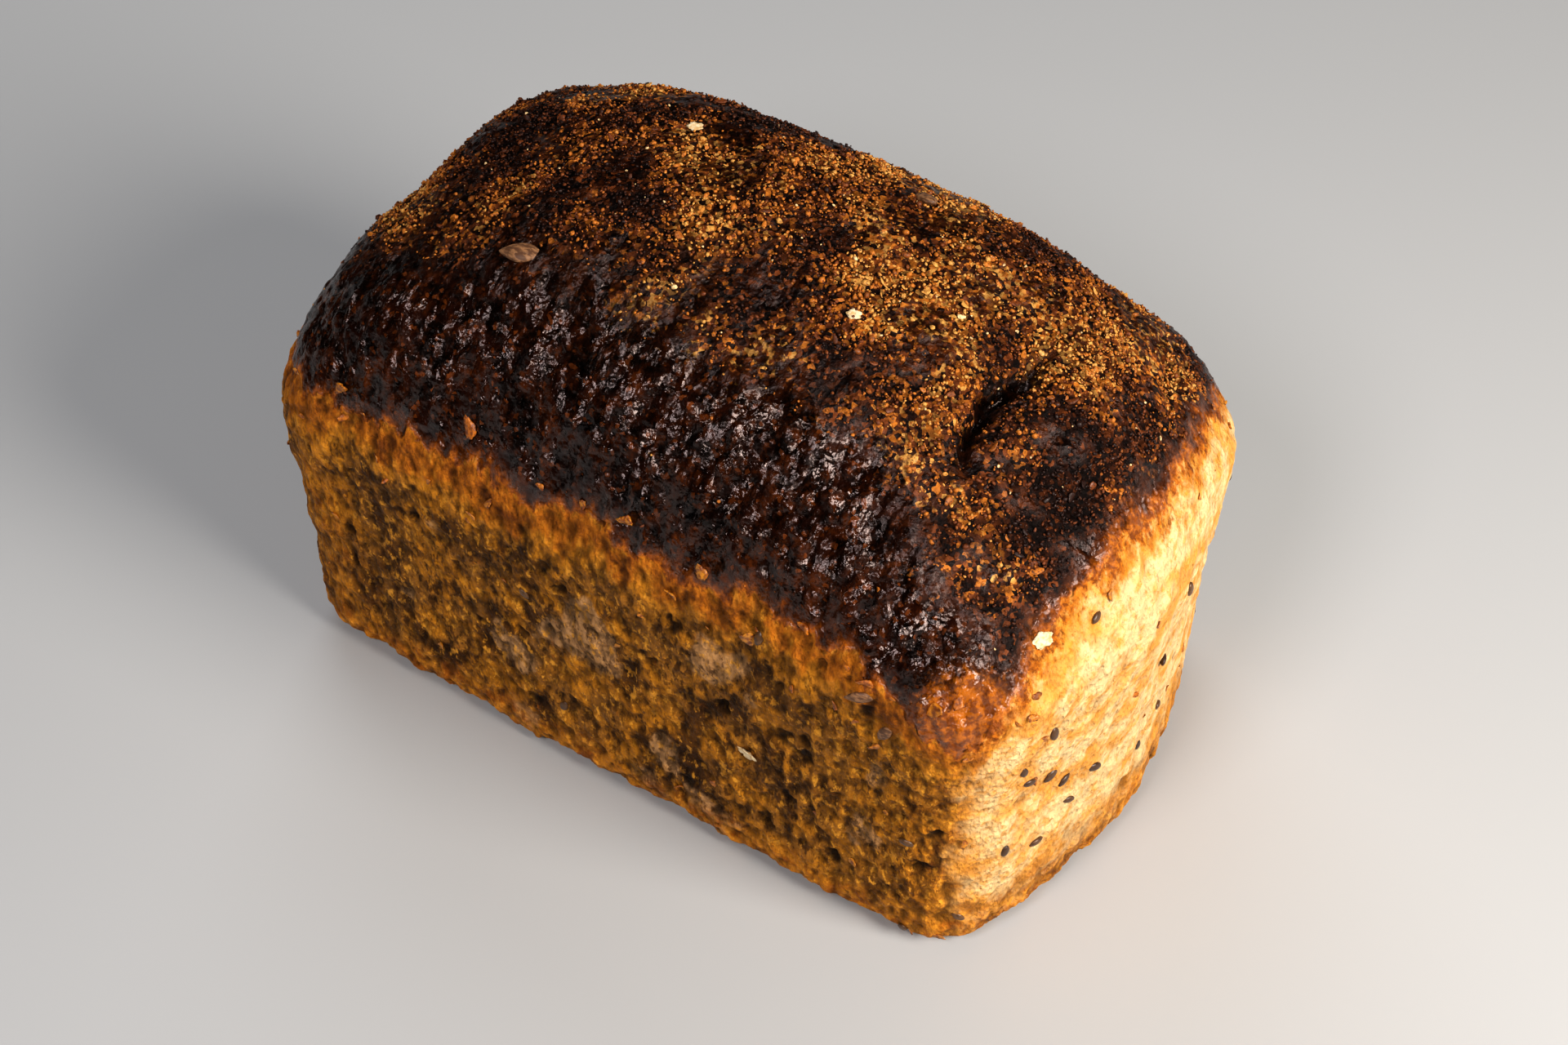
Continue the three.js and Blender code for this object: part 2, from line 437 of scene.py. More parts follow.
def add_box_map(mesh, smooth_points, smooth_normals):
    """A UV map of six flat charts, one for each side of the loaf's box, packed into the unit square."""
    size = HIGH - LOW
    gap = CHART_GAP
    rows = (0, size[2] + gap, size[2] + size[1] + 2 * gap)
    width = 2 * size[0] + 3 * gap
    height = rows[2] + size[2] + gap
    first, second = gap / 2, size[0] + 2 * gap
    # For each side of the box, its axis and sign: the two axes it is laid out on and its chart's corner
    charts = {
        (1, -1): (0, 2, (first, rows[0])),
        (1, 1): (0, 2, (second, rows[0])),
        (2, 1): (0, 1, (first, rows[1])),
        (2, -1): (0, 1, (second, rows[1])),
        (0, -1): (1, 2, (first, rows[2])),
        (0, 1): (1, 2, (second, rows[2])),
    }
    starts = np.empty(len(mesh.polygons), np.int64)
    counts = np.empty(len(mesh.polygons), np.int64)
    mesh.polygons.foreach_get("loop_start", starts)
    mesh.polygons.foreach_get("loop_total", counts)
    vertex = corner_vertices(mesh)
    face_normal = np.add.reduceat(smooth_normals[vertex], starts)
    axis = np.abs(face_normal).argmax(1)
    sign = np.where(np.take_along_axis(face_normal, axis[:, None], 1)[:, 0] > 0, 1, -1)
    axis, sign = np.repeat(axis, counts), np.repeat(sign, counts)
    place = smooth_points[vertex] - LOW
    uv = np.zeros((len(vertex), 2))
    for (side, way), (u, v, corner) in charts.items():
        here = (axis == side) & (sign == way)
        uv[here] = place[here][:, (u, v)] + corner
    uv = (uv + gap / 4) / (max(width, height) + gap / 2)
    layer = mesh.uv_layers.new(name="OFBake")
    layer.data.foreach_set("uv", uv.astype(np.float32).ravel())


def shade_smooth(mesh):
    mesh.polygons.foreach_set("use_smooth", np.ones(len(mesh.polygons), bool))


def build_crust():
    mesh = smooth_loaf_mesh()
    mesh.name = "crust"
    points, normals = read_points(mesh) / MM, read_points(mesh, "normal")
    zones = crust_zones(points, normals)
    relief, fine, pits, crease = crust_relief(points, normals, zones)
    zones["crumbs"] *= 1 - crease
    add_box_map(mesh, points, normals)
    moved = points + normals * relief[:, None]
    moved[:, 2] = np.maximum(moved[:, 2], 0)
    write_points(mesh, moved * MM)
    for name in ("dark", "amber", "crumbs", "pale", "foot", "scorch", "toast_and_light", "rubbed", "nose", "gold"):
        add_point_mask(mesh, name, zones[name])
    add_point_mask(mesh, "pits", pits)
    add_point_mask(mesh, "crease", crease)
    # Painted shade: a mask that is high in the low places of the fine relief
    add_point_mask(mesh, "cavity_shade", smoothstep(0.35, -0.45, fine - np.where(zones["dark"] > 0.5, 0.35, 0)))
    shade_smooth(mesh)
    crust = link("crust", mesh)
    mesh.materials.append(crust_material())
    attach(crust, "root")
    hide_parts("loaf")
    return crust, zones


# ---------------------------------------------------------------- materials

class Nodes:
    """Short names for the shader nodes that the materials use. Patterns are placed in millimetres."""

    def __init__(self, name):
        self.material = bpy.data.materials.new(name)
        self.material.use_nodes = True
        self.tree = self.material.node_tree
        self.shader = self.tree.nodes["Principled BSDF"]
        position = self.tree.nodes.new("ShaderNodeTexCoord").outputs["Object"]
        self.millimetres = self.vector("SCALE", position, scale=1 / MM)

    def put(self, value, socket):
        if isinstance(value, bpy.types.NodeSocket):
            self.tree.links.new(value, socket)
        elif isinstance(value, tuple) and len(value) == 3 and socket.type == "RGBA":
            socket.default_value = (*value, 1)
        else:
            socket.default_value = value

    def vector(self, operation, a, b=None, scale=None):
        node = self.tree.nodes.new("ShaderNodeVectorMath")
        node.operation = operation
        self.put(a, node.inputs[0])
        if b is not None:
            self.put(b, node.inputs[1])
        if scale is not None:
            self.put(scale, node.inputs["Scale"])
        return node.outputs[0]

    def math(self, operation, a, b=0.0, clamp=False):
        node = self.tree.nodes.new("ShaderNodeMath")
        node.operation = operation
        node.use_clamp = clamp
        self.put(a, node.inputs[0])
        self.put(b, node.inputs[1])
        return node.outputs[0]

    def mask(self, name):
        node = self.tree.nodes.new("ShaderNodeAttribute")
        node.attribute_name = name
        return node.outputs["Fac"]

    def stretched(self, stretch):
        return self.vector("DIVIDE", self.millimetres, stretch)

    def noise(self, pitch, detail=3.0, roughness=0.55, stretch=None, distortion=0.0):
        node = self.tree.nodes.new("ShaderNodeTexNoise")
        self.put(self.stretched(stretch) if stretch else self.millimetres, node.inputs["Vector"])
        node.inputs["Scale"].default_value = 1 / pitch
        node.inputs["Detail"].default_value = detail
        node.inputs["Roughness"].default_value = roughness
        node.inputs["Distortion"].default_value = distortion
        return node.outputs["Fac"]

    def cells(self, pitch, output="Distance", stretch=None, feature="F1"):
        node = self.tree.nodes.new("ShaderNodeTexVoronoi")
        node.feature = feature
        self.put(self.stretched(stretch) if stretch else self.millimetres, node.inputs["Vector"])
        node.inputs["Scale"].default_value = 1 / pitch
        return node.outputs[output]

    def span(self, value, low, high, to_low=0.0, to_high=1.0):
        node = self.tree.nodes.new("ShaderNodeMapRange")
        node.interpolation_type = "SMOOTHSTEP"
        for socket, number in zip(node.inputs[:5], (value, low, high, to_low, to_high)):
            self.put(number, socket)
        return node.outputs["Result"]

    def mix(self, factor, a, b, blend="MIX"):
        """Mixes two colours. Sockets 6 and 7 are the colour ones of the Mix node."""
        node = self.tree.nodes.new("ShaderNodeMix")
        node.data_type = "RGBA"
        node.blend_type = blend
        self.put(factor, node.inputs[0])
        self.put(a, node.inputs[6])
        self.put(b, node.inputs[7])
        return node.outputs[2]

    def blend(self, factor, a, b):
        """Mixes two numbers. Sockets 2 and 3 are the number ones of the Mix node."""
        node = self.tree.nodes.new("ShaderNodeMix")
        self.put(factor, node.inputs[0])
        self.put(a, node.inputs[2])
        self.put(b, node.inputs[3])
        return node.outputs[0]

    def red_of(self, colour):
        node = self.tree.nodes.new("ShaderNodeSeparateColor")
        self.put(colour, node.inputs[0])
        return node.outputs[0]

    def facets(self, pitch, stretch, wobble):
        """The height in mm of a crinkled skin: each cell is a small plane with a tilt of its own."""
        node = self.tree.nodes.new("ShaderNodeTexNoise")
        self.put(self.millimetres, node.inputs["Vector"])
        node.inputs["Scale"].default_value = 1 / pitch
        node.inputs["Detail"].default_value = 2
        strayed = self.vector("SUBTRACT", node.outputs["Color"], (0.5, 0.5, 0.5))
        strayed = self.vector("ADD", self.millimetres, self.vector("SCALE", strayed, scale=wobble * pitch))
        place = self.vector("DIVIDE", strayed, tuple(pitch * side for side in stretch))
        cell = self.tree.nodes.new("ShaderNodeTexVoronoi")
        self.put(place, cell.inputs["Vector"])
        cell.inputs["Scale"].default_value = 1
        tilt = self.vector("SUBTRACT", cell.outputs["Color"], (0.5, 0.5, 0.5))
        node = self.tree.nodes.new("ShaderNodeVectorMath")
        node.operation = "DOT_PRODUCT"
        self.put(tilt, node.inputs[0])
        self.put(self.vector("SUBTRACT", place, cell.outputs["Position"]), node.inputs[1])
        return self.math("MULTIPLY", node.outputs["Value"], pitch)

    def bump(self, height, distance, strength=1.0, normal=None):
        node = self.tree.nodes.new("ShaderNodeBump")
        node.inputs["Strength"].default_value = strength
        node.inputs["Distance"].default_value = distance * MM
        self.put(height, node.inputs["Height"])
        if normal is not None:
            self.put(normal, node.inputs["Normal"])
        return node.outputs["Normal"]

    def finish(self, colour, roughness, normal=None, **others):
        self.put(colour, self.shader.inputs["Base Color"])
        self.put(roughness, self.shader.inputs["Roughness"])
        if normal is not None:
            self.put(normal, self.shader.inputs["Normal"])
        for name, value in others.items():
            self.put(value, self.shader.inputs[name.replace("_", " ")])
        return self.material


# Linear colours of the crust
GOLDEN = (0.56, 0.215, 0.014)
TAN = (0.31, 0.128, 0.020)
DULL_BROWN = (0.055, 0.019, 0.004)
BRIGHT_GOLD = (0.90, 0.400, 0.045)
CREAM = (0.88, 0.600, 0.290)
WALL_PALE = (0.56, 0.300, 0.125)
APRICOT = (0.78, 0.300, 0.028)
AMBER = (0.46, 0.130, 0.008)
RUST = (0.19, 0.048, 0.006)
DEEP_RUST = (0.040, 0.009, 0.002)
UMBER = (0.017, 0.004, 0.0015)
SOOT = (0.003, 0.0012, 0.0007)
TOASTED = (0.165, 0.042, 0.008)
BRAN_ORANGE = (0.50, 0.160, 0.018)
BRAN_GOLD = (0.66, 0.320, 0.075)
PIT_SHADE = (0.030, 0.014, 0.005)
LINSEED_BLACK = (0.018, 0.010, 0.007)
LINSEED_DARK = (0.045, 0.020, 0.010)
LINSEED_BROWN = (0.13, 0.060, 0.022)
KERNEL_DARK = (0.10, 0.042, 0.018)
KERNEL_LIGHT = (0.27, 0.130, 0.055)
OAT_PALE = (0.80, 0.64, 0.40)
OAT_TOASTED = (0.60, 0.37, 0.15)
GLOSS_TINT = (1.0, 0.80, 0.76, 1)  # of the crust's reflections


def wall_colour(n):
    """Golden and tan, mottled, with dark grain dragged up the wall and pale places where it was rubbed."""
    gold = n.mask("gold")
    brown = n.span(n.noise(15, 3), 0.40, 0.58)
    brown = n.math("SUBTRACT", brown, n.math("MULTIPLY", gold, 0.8), clamp=True)
    colour = n.mix(brown, GOLDEN, TAN)
    dusky = n.span(n.noise(11, 5, 0.6, stretch=(1, 1, 1.4)), 0.48, 0.62)
    dusky = n.math("MULTIPLY", dusky, n.blend(gold, 0.85, 0.35))
    colour = n.mix(dusky, colour, DULL_BROWN)
    rubbed = n.math("ADD", n.mask("rubbed"), n.math("SUBTRACT", n.noise(2.5, 4, 0.65), 0.5))
    colour = n.mix(n.span(rubbed, 0.35, 0.85, 0, 0.85), colour, WALL_PALE)
    uneven = n.span(n.noise(8, 3), 0.38, 0.62)
    grain = n.span(n.noise(1.6, 3, 0.6, stretch=(1, 1, 2.0)), 0.48, 0.58)
    colour = n.mix(n.math("MULTIPLY", grain, n.blend(uneven, 0.35, 0.8)), colour, DULL_BROWN)
    bright = n.span(n.noise(1.7, 4, 0.65, stretch=(1, 1, 1.7)), 0.53, 0.62)
    brightness = n.blend(n.math("SUBTRACT", uneven, gold, clamp=True), 0.8, 0.3)
    return n.mix(n.math("MULTIPLY", bright, brightness), colour, BRIGHT_GOLD)


def end_colour(n):
    """The pale end: cream with apricot clouds and fine tan freckles."""
    colour = n.mix(n.span(n.noise(10, 3), 0.42, 0.62, 0, 0.8), CREAM, APRICOT)
    colour = n.mix(n.span(n.noise(3, 4, 0.6), 0.50, 0.64, 0, 0.6), colour, APRICOT)
    return n.mix(n.span(n.noise(2.2, 4, 0.6), 0.56, 0.70, 0, 0.45), colour, TAN)


def amber_colour(n, amber):
    """Thin caramelised crust under the dark edge: rust next to it, then amber, then bright gold."""
    near_edge = n.math("ADD", amber, n.math("SUBTRACT", n.noise(2, 4, 0.65, stretch=(1, 1, 1.6)), 0.5))
    colour = n.mix(n.span(n.noise(2.6, 4, 0.6, stretch=(1, 1, 2)), 0.44, 0.60), APRICOT, GOLDEN)
    colour = n.mix(n.span(near_edge, 0.50, 0.85, 0, 0.85), colour, AMBER)
    return n.mix(n.span(near_edge, 0.80, 1.1, 0, 0.9), colour, RUST)


def skin_colour(n):
    """The glossy dark skin: soot and umber, with rust where it is thin and specks of bran baked in."""
    colour = n.mix(n.span(n.noise(5, 4, 0.6), 0.42, 0.62), SOOT, UMBER)
    colour = n.mix(n.span(n.noise(4, 5, 0.65), 0.50, 0.70, 0, 0.5), colour, DEEP_RUST)
    speck = n.red_of(n.cells(0.9, "Color"))
    return n.mix(n.span(speck, 0.92, 0.96, 0, 0.6), colour, TOASTED)


def crumb_colour(n):
    """The ground between the bran: grains of many browns, more of them light where the toast mask is high.
    That mask holds the crust's uneven toasting and painted light on two lit spots.
    """
    toast_and_light = n.mask("toast_and_light")
    lighter = n.math("MULTIPLY", n.math("SUBTRACT", toast_and_light, 0.55), 0.55)
    tone = n.math("ADD", n.red_of(n.cells(1.05, "Color")), lighter)
    colour = n.mix(n.span(tone, 0.15, 0.40), SOOT, UMBER)
    colour = n.mix(n.span(tone, 0.40, 0.62), colour, TOASTED)
    colour = n.mix(n.span(tone, 0.74, 0.86), colour, BRAN_ORANGE)
    return n.mix(n.span(tone, 0.97, 1.05), colour, BRAN_GOLD)


def crust_material():
    n = Nodes("baked_crust")
    dark, amber, crumbs = n.mask("dark"), n.mask("amber"), n.mask("crumbs")
    pale, foot, pits = n.mask("pale"), n.mask("foot"), n.mask("pits")
    ragged = n.math("MULTIPLY", n.math("SUBTRACT", n.noise(1.6, 4, 0.65, stretch=(1, 1, 1.8)), 0.5), 1.5)
    colour = n.mix(pale, wall_colour(n), end_colour(n))
    amber_edge = n.span(n.math("ADD", amber, ragged), 0.15, 0.85)
    colour = n.mix(n.math("MULTIPLY", amber_edge, 0.9), colour, amber_colour(n, amber))
    rusted = n.mix(n.span(n.noise(4, 4, 0.6), 0.42, 0.62), APRICOT, AMBER)
    rust = n.math("MULTIPLY", foot, n.span(n.noise(2.2, 4, 0.6), 0.3, 0.7, 0.45, 0.95))
    colour = n.mix(rust, colour, rusted)
    # Painted shade: the wall's pits and pores are painted dark
    colour = n.mix(n.math("MULTIPLY", pits, 0.88), colour, PIT_SHADE)
    top = n.mix(n.span(n.math("ADD", crumbs, ragged), 0.2, 0.6), skin_colour(n), crumb_colour(n))
    top = n.mix(n.math("MULTIPLY", n.mask("scorch"), 0.45), top, SOOT)
    # Painted shadow: the valley of the fold is painted near black
    top = n.mix(n.math("MULTIPLY", n.mask("crease"), 0.75), top, SOOT)
    drips = n.math("MULTIPLY", n.math("SUBTRACT", n.noise(4.5, 4, 0.6, stretch=(1, 1, 1.8)), 0.5), 1.4)
    dark_edge = n.math("ADD", dark, n.math("MULTIPLY", n.math("ADD", ragged, drips), 0.6))
    fringe = n.mix(n.span(n.noise(1.3, 3, 0.6), 0.42, 0.60), AMBER, RUST)
    colour = n.mix(n.span(dark_edge, 0.15, 0.40), colour, fringe)
    colour = n.mix(n.span(dark_edge, 0.35, 0.55, 0, 0.8), colour, RUST)
    colour = n.mix(n.span(dark_edge, 0.50, 0.75, 0, 0.9), colour, DEEP_RUST)
    colour = n.mix(n.span(dark_edge, 0.70, 1.05), colour, top)
    ruddy = n.mix(n.span(n.noise(2.2, 4, 0.65), 0.44, 0.58), RUST, AMBER)
    bared = n.math("ADD", n.mask("nose"), n.math("MULTIPLY", ragged, 0.7))
    colour = n.mix(n.span(bared, 0.45, 0.85, 0, 0.75), colour, ruddy)
    # Painted shade: the colour is darkened in the hollows of the fine relief, less so on the pale end, and
    # lifted by a tenth elsewhere
    shade = n.math("MULTIPLY", n.mask("cavity_shade"), n.blend(pale, 0.8, 0.35))
    colour = n.mix(1.0, colour, n.math("SUBTRACT", 1.1, shade), "MULTIPLY")

    glossy = n.math("MULTIPLY", n.span(dark, 0.25, 0.60), n.math("SUBTRACT", 1.0, crumbs), clamp=True)
    rough_skin = n.span(n.noise(2.4, 3), 0.35, 0.65, 0.15, 0.30)
    roughness = n.blend(glossy, n.span(n.noise(1.5, 3), 0.3, 0.7, 0.50, 0.80), rough_skin)
    grain = n.noise(0.9, 4, 0.65, stretch=(1, 1, 1.6))
    smoother = n.math("SUBTRACT", 1.0, n.math("MULTIPLY", glossy, 0.85))
    normal = n.bump(n.math("MULTIPLY", grain, smoother), 0.8, 1.0)
    normal = n.bump(n.math("MULTIPLY", n.cells(1.1, stretch=(1, 1, 1.6)), smoother), 0.5, 1.0, normal)
    fine_crinkles = n.math("MULTIPLY", n.facets(1.3, (1, 1.6, 1.6), 1.0), 0.25)
    crinkles = n.math("ADD", n.facets(2.8, (1, 2.1, 2.1), 1.1), fine_crinkles)
    normal = n.bump(n.math("MULTIPLY", crinkles, n.math("MULTIPLY", glossy, 1.1)), 1.0, 1.0, normal)
    specular = n.blend(glossy, 0.15, 0.5)
    return n.finish(colour, roughness, normal, Specular_IOR_Level=specular, Specular_Tint=GLOSS_TINT)


# ---------------------------------------------------------------- bran, seeds and flakes

def ball(subdivisions):
    """The points and triangles of a ball of radius 1."""
    sphere = bmesh.new()
    bmesh.ops.create_icosphere(sphere, subdivisions=subdivisions, radius=1)
    points = np.array([v.co for v in sphere.verts])
    faces = np.array([[v.index for v in f.verts] for f in sphere.faces])
    sphere.free()
    return points, faces


def grain_form(points):
    return points * (1, 0.78, 0.62)


def flake_form(points):
    x, y, z = points.T
    ragged = 1 + 0.14 * np.sin(3 * np.arctan2(y, x) + 1)
    return np.stack([x * ragged, y * 0.58 * ragged, z * 0.2 + 0.22 * x ** 2 - 0.12 * y], 1)


def linseed_form(points):
    x, y, z = points.T
    taper = 1 - 0.42 * np.clip(x, 0, 1) ** 2 + 0.05 * x
    return np.stack([x, y * 0.62 * taper, z * 0.34 * taper], 1)


def kernel_form(points):
    x, y, z = points.T
    taper = 1 - 0.55 * np.clip(x, 0, 1) ** 1.5
    ridges = 1 + 0.10 * np.cos(y * 17)
    return np.stack([x, y * 0.5 * taper, z * 0.26 * taper * ridges], 1)


def oat_form(points):
    x, y, z = points.T
    groove = 0.08 * bell(y, 0.14)
    ragged = 1 + 0.10 * np.sin(5 * np.arctan2(y, x)) + 0.05 * np.sin(9 * np.arctan2(y, x))
    return np.stack([x * ragged, y * 0.8 * ragged, z * 0.11 - groove + 0.10 * x ** 2], 1)


def face_numbers(mesh, what, width, kind=np.float32):
    values = np.empty(len(mesh.polygons) * width, kind)
    mesh.polygons.foreach_get(what, values)
    return values.reshape(-1, width) if width > 1 else values


def scatter(mesh, weight, count, rng, also=None):
    """Random places on a mesh, more where the weight is high: points in mm, normals and a mask there."""
    starts = face_numbers(mesh, "loop_start", 1, np.int64)
    face_weight = np.add.reduceat(weight[corner_vertices(mesh)], starts) * face_numbers(mesh, "area", 1)
    chosen = rng.choice(len(starts), count, p=face_weight / face_weight.sum())
    points = face_numbers(mesh, "center", 3)[chosen] / MM
    points += rng.uniform(-0.4, 0.4, points.shape) * GRID
    normals = face_numbers(mesh, "normal", 3)[chosen]
    if also is None:
        return points, normals
    return points, normals, also[corner_vertices(mesh)[starts[chosen]]]


def facing_axes(normals, headings):
    """Each piece's directions of length, width and height: it lies on the surface, turned by a heading."""
    up = normals / np.linalg.norm(normals, axis=1, keepdims=True)
    guide = np.where(np.abs(up[:, 2:]) > 0.9, np.array([[1.0, 0, 0]]), np.array([[0, 0, 1.0]]))
    side = np.cross(up, guide)
    side /= np.linalg.norm(side, axis=1, keepdims=True)
    over = np.cross(up, side)
    turn = np.cos(headings)[:, None], np.sin(headings)[:, None]
    length = side * turn[0] + over * turn[1]
    return length, np.cross(up, length), up


def lay_pieces(
    name, form, subdivisions, points, normals, sizes, headings, rng,
    rough=0.0, tilt=0.2, sink=0.2, tints=None,
):
    """One mesh of many small loose pieces, each with its own size, turn, tilt and tint."""
    template, faces = ball(subdivisions)
    count, corners = len(points), len(template)
    normals = normals + rng.normal(0, tilt, normals.shape)
    length, width, up = facing_axes(normals, headings)
    shapes = form(template)[None] * (1 + rng.normal(0, rough, (count, corners, 1)))
    shapes = shapes * (1 + rng.uniform(-0.25, 0.25, (count, 1, 3)) * (rough > 0))
    shapes[:, :, 2] += (0.5 - sink) * np.ptp(form(template)[:, 2])
    shapes *= sizes[:, None, None]
    placed = (
        points[:, None]
        + shapes[:, :, :1] * length[:, None]
        + shapes[:, :, 1:2] * width[:, None]
        + shapes[:, :, 2:] * up[:, None]
    )
    placed[:, :, 2] = np.maximum(placed[:, :, 2], 0.2)
    mesh = bpy.data.meshes.new(name)
    all_faces = (faces[None] + corners * np.arange(count)[:, None, None]).reshape(-1, 3)
    mesh.from_pydata((placed.reshape(-1, 3) * MM).tolist(), [], all_faces.tolist())
    tints = rng.uniform(0, 1, count) if tints is None else tints
    add_point_mask(mesh, "tint", np.repeat(tints, corners))
    add_tile_map(mesh, template, faces, count)
    shade_smooth(mesh)
    obj = link(name, mesh)
    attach(obj, "root")
    return obj


def add_tile_map(mesh, template, faces, count):
    """A UV map with a tile for each loose piece, its upper and lower faces side by side in it."""
    across = math.ceil(count ** 0.5)
    upper = template[faces].mean(1)[:, 2] > 0
    flat = template[faces][:, :, :2] * 0.42 + 0.5
    flat[:, :, 0] = (flat[:, :, 0] + np.where(upper, 0, 1)[:, None]) / 2
    tile = np.stack([np.arange(count) % across, np.arange(count) // across], 1)
    uv = (flat[None] + tile[:, None, None]) / across
    mesh.uv_layers.new(name="OFBake").data.foreach_set("uv", uv.astype(np.float32).ravel())


def bran_material():
    """Toasted grains from near black through orange to a few pale ones."""
    n = Nodes("toasted_bran")
    tint = n.mask("tint")
    colour = n.mix(n.span(tint, 0.10, 0.45), UMBER, TOASTED)
    colour = n.mix(n.span(tint, 0.45, 0.70), colour, BRAN_ORANGE)
    colour = n.mix(n.span(tint, 0.84, 0.93), colour, BRAN_GOLD)
    colour = n.mix(n.span(tint, 0.985, 0.995), colour, CREAM)
    colour = n.mix(n.span(n.noise(0.5, 3), 0.45, 0.70, 0, 0.8), colour, UMBER)
    roughness = n.span(n.noise(0.7, 2), 0.3, 0.7, 0.40, 0.70)
    return n.finish(colour, roughness, n.bump(n.noise(0.35, 3), 0.12, 0.6), Specular_IOR_Level=0.35)


def flake_material():
    n = Nodes("torn_crust_flake")
    colour = n.mix(n.mask("tint"), AMBER, GOLDEN)
    colour = n.mix(n.span(n.noise(1.1, 3), 0.4, 0.62), colour, RUST)
    return n.finish(colour, 0.35, n.bump(n.noise(0.9, 3), 0.5, 0.8))


def linseed_material():
    n = Nodes("linseed")
    colour = n.mix(n.mask("tint"), LINSEED_DARK, LINSEED_BROWN)
    colour = n.mix(n.span(n.noise(0.8, 2), 0.45, 0.7, 0, 0.6), colour, LINSEED_BLACK)
    return n.finish(colour, 0.38, n.bump(n.noise(0.4, 2), 0.06, 0.4))


def kernel_material():
    n = Nodes("sunflower_kernel")
    stripes = n.span(n.noise(0.8, 3, stretch=(2.5, 1, 1)), 0.42, 0.62)
    colour = n.mix(stripes, KERNEL_DARK, KERNEL_LIGHT)
    return n.finish(colour, 0.55, n.bump(stripes, 0.15, 0.5))


def oat_material():
    n = Nodes("oat_flake")
    colour = n.mix(n.span(n.noise(1.2, 3), 0.4, 0.65), OAT_PALE, OAT_TOASTED)
    return n.finish(colour, 0.7, n.bump(n.noise(0.5, 3), 0.15, 0.6))


def ray_to_crust(tree, start, way):
    """Where a ray from outside meets the crust: a point in mm and the normal there."""
    point, normal, _, _ = tree.ray_cast(Vector(start) * MM, Vector(way))
    return np.array(point) / MM, np.array(normal)


def chosen_places(tree, places):
    """Listed places, each the wall it lies on and two coordinates in mm."""
    sides = {
        "front": lambda x, z: ((x, LOW[1] - 20, z), (0, 1, 0)),
        "right": lambda y, z: ((HIGH[0] + 20, y, z), (-1, 0, 0)),
        "top": lambda x, y: ((x, y, HIGH[2] + 20), (0, 0, -1)),
    }
    found = [ray_to_crust(tree, *sides[side](a, b)) for side, a, b in places]
    return np.array([point for point, _ in found]), np.array([normal for _, normal in found])


# Chosen places: the side that the piece lies on, and its two coordinates there in mm
TORN_FLAKES = [
    ("front", 4, 100), ("front", -40, 101), ("front", 49, 94), ("front", 66, 91),
    ("front", 85, 92), ("front", 81, 90), ("front", 24, 97), ("front", -75, 96),
]
CHOSEN_LINSEEDS = [
    ("right", -24, 94), ("right", -39, 71), ("right", -43, 56), ("right", -36, 52), ("right", -21, 41),
    ("right", -28, 35), ("right", -46, 63), ("front", 39, 86), ("front", 77, 40),
]
KERNELS = [("top", -44, -30), ("top", 22, 30), ("front", 65, 86), ("front", 71, 77)]
KERNEL_SIZES = (5.2, 4.6, 3.4, 2.8)  # half lengths in mm
KERNEL_HEADINGS = (1.9, 2.2, 0.3, 1.1)  # radians
OATS = [("right", -37, 96), ("front", 35, 42), ("top", -33, 21), ("top", 30, -12)]
OAT_SIZES = (2.2, 3.6, 1.9, 1.6)
SMALL_FLAKES = 110
SCATTERED_LINSEEDS = 20

# Bran: its name, form, the fineness of its ball, how many, half length in mm, roughness, tilt and sink
BRAN = (
    ("bran_grains", grain_form, 1, 8500, 0.39, 0.14, 0.5, 0.3),
    ("bran_crumbs", grain_form, 1, 9500, 0.30, 0.14, 0.5, 0.3),
    ("bran_flakes", flake_form, 2, 650, 0.68, 0.08, 0.3, 0.15),
)
PALE_GRAINS = 0.008  # share of the bran that stayed pale
PALE_TINT = 1
DARKEST_TO_GOLD = (0, 0.93)  # range of the other tints


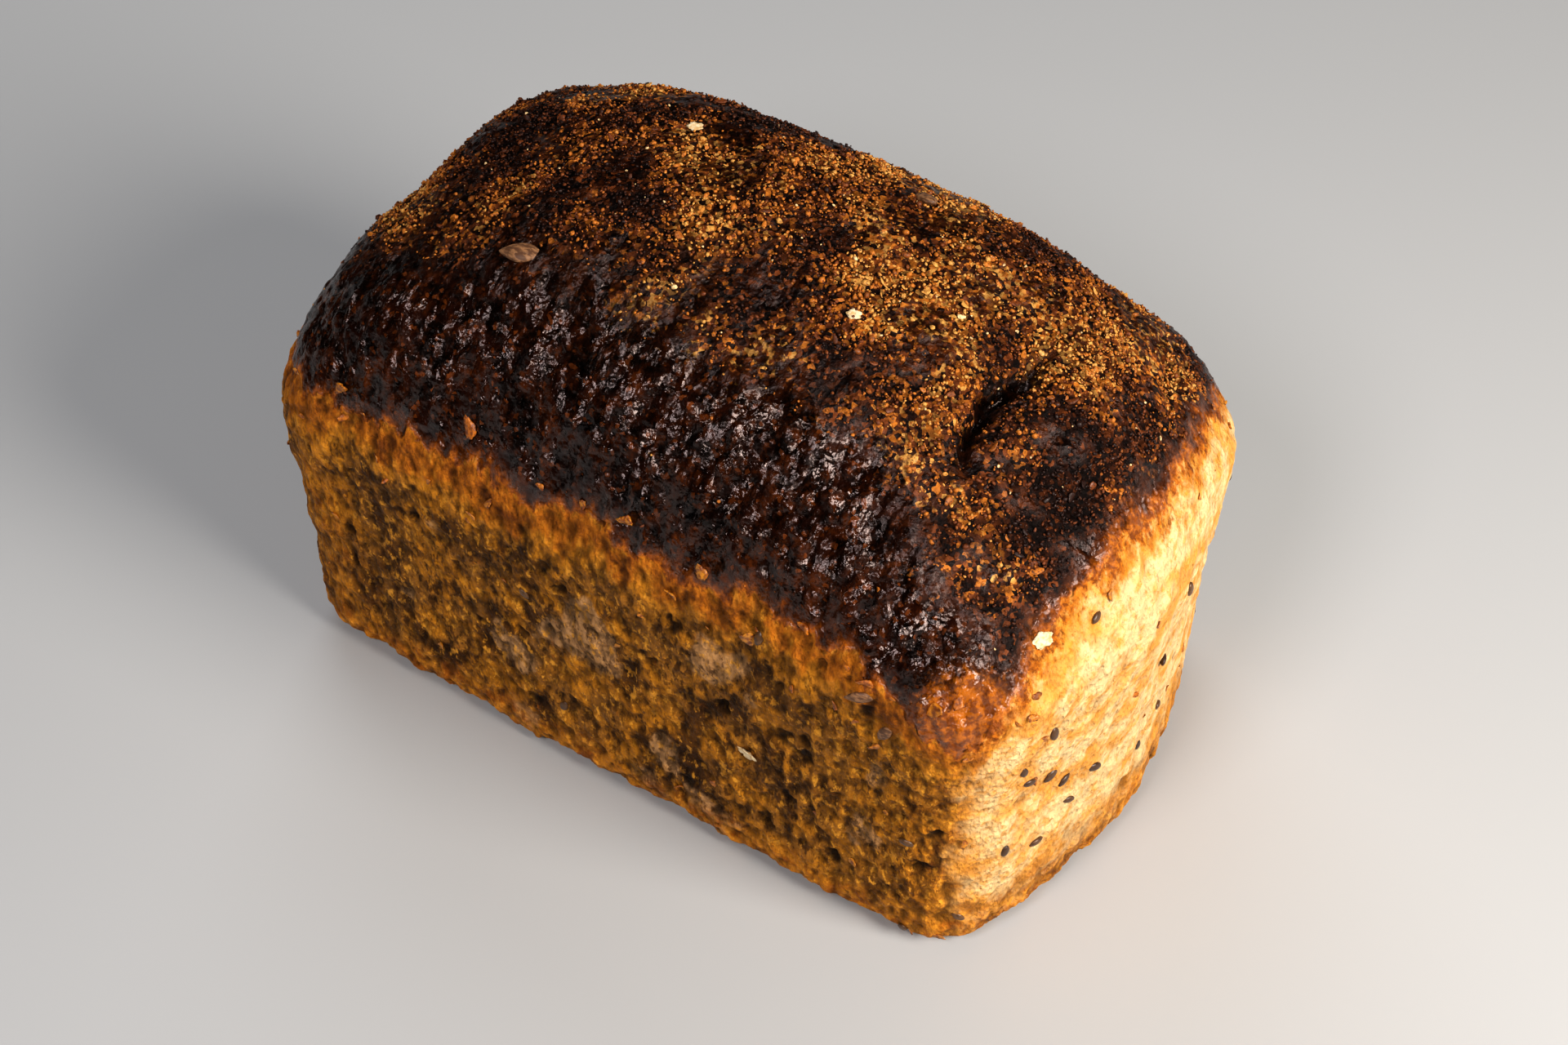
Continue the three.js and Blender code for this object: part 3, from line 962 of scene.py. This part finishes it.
def add_toppings(crust, zones):
    rng = np.random.default_rng(SEED)
    mesh = crust.data
    tree = BVHTree.FromObject(crust, bpy.context.evaluated_depsgraph_get())
    bran, pale = bran_material(), zones["pale"]
    wall = (1 - zones["dark"]) * (1 - zones["under"])

    def lay(name, form, subdivisions, material, places, sizes, **options):
        points, normals = places
        turns = options.pop("headings", rng.uniform(0, 2 * math.pi, len(points)))
        made = lay_pieces(name, form, subdivisions, points, normals, sizes, turns, rng, **options)
        made.data.materials.append(material)

    weight = zones["crumbs"] ** 2 + 0.004 * zones["dark"]
    for name, form, subdivisions, count, size, rough, tilt, sink in BRAN:
        points, normals, toast_and_light = scatter(mesh, weight, count, rng, also=zones["toast_and_light"])
        # Grains are lighter where the toast mask is high: partly the crust's toasting, partly painted light
        tints = np.clip(0.7 * rng.uniform(0, 1, count) + 0.75 * (toast_and_light - 0.5) + 0.12, *DARKEST_TO_GOLD)
        tints[rng.uniform(0, 1, count) < PALE_GRAINS] = PALE_TINT
        sizes = rng.lognormal(math.log(size), 0.32, count)
        options = {"tints": tints, "rough": rough, "tilt": tilt, "sink": sink}
        lay(name, form, subdivisions, bran, (points, normals), sizes, **options)

    torn = chosen_places(tree, TORN_FLAKES)
    small = scatter(mesh, zones["amber"] + 0.15 * wall, SMALL_FLAKES, rng)
    places = np.concatenate([torn[0], small[0]]), np.concatenate([torn[1], small[1]])
    sizes = np.concatenate([rng.uniform(1.7, 2.6, len(torn[0])), rng.lognormal(0, 0.3, SMALL_FLAKES)])
    lay("crust_flakes", flake_form, 3, flake_material(), places, sizes, rough=0.10, tilt=0.35, sink=0.25)

    points, normals = chosen_places(tree, CHOSEN_LINSEEDS)
    more = scatter(mesh, wall * (0.2 + pale) * (1 - zones["amber"]), SCATTERED_LINSEEDS, rng)
    places = np.concatenate([points, more[0]]), np.concatenate([normals, more[1]])
    sizes = rng.uniform(1.7, 2.25, len(places[0]))
    lay("linseeds", linseed_form, 2, linseed_material(), places, sizes, tilt=0.12, sink=0.45)

    places = chosen_places(tree, KERNELS)
    options = {"headings": np.array(KERNEL_HEADINGS), "tilt": 0.05, "sink": 0.45}
    lay("sunflower_kernels", kernel_form, 3, kernel_material(), places, np.array(KERNEL_SIZES), **options)

    places = chosen_places(tree, OATS)
    lay("oat_flakes", oat_form, 4, oat_material(), places, np.array(OAT_SIZES), rough=0.05, tilt=0.04, sink=0)


# ---------------------------------------------------------------- the scene

add_camera()
add_studio()
add_floor()
loaf_crust, crust_masks = build_crust()
add_toppings(loaf_crust, crust_masks)
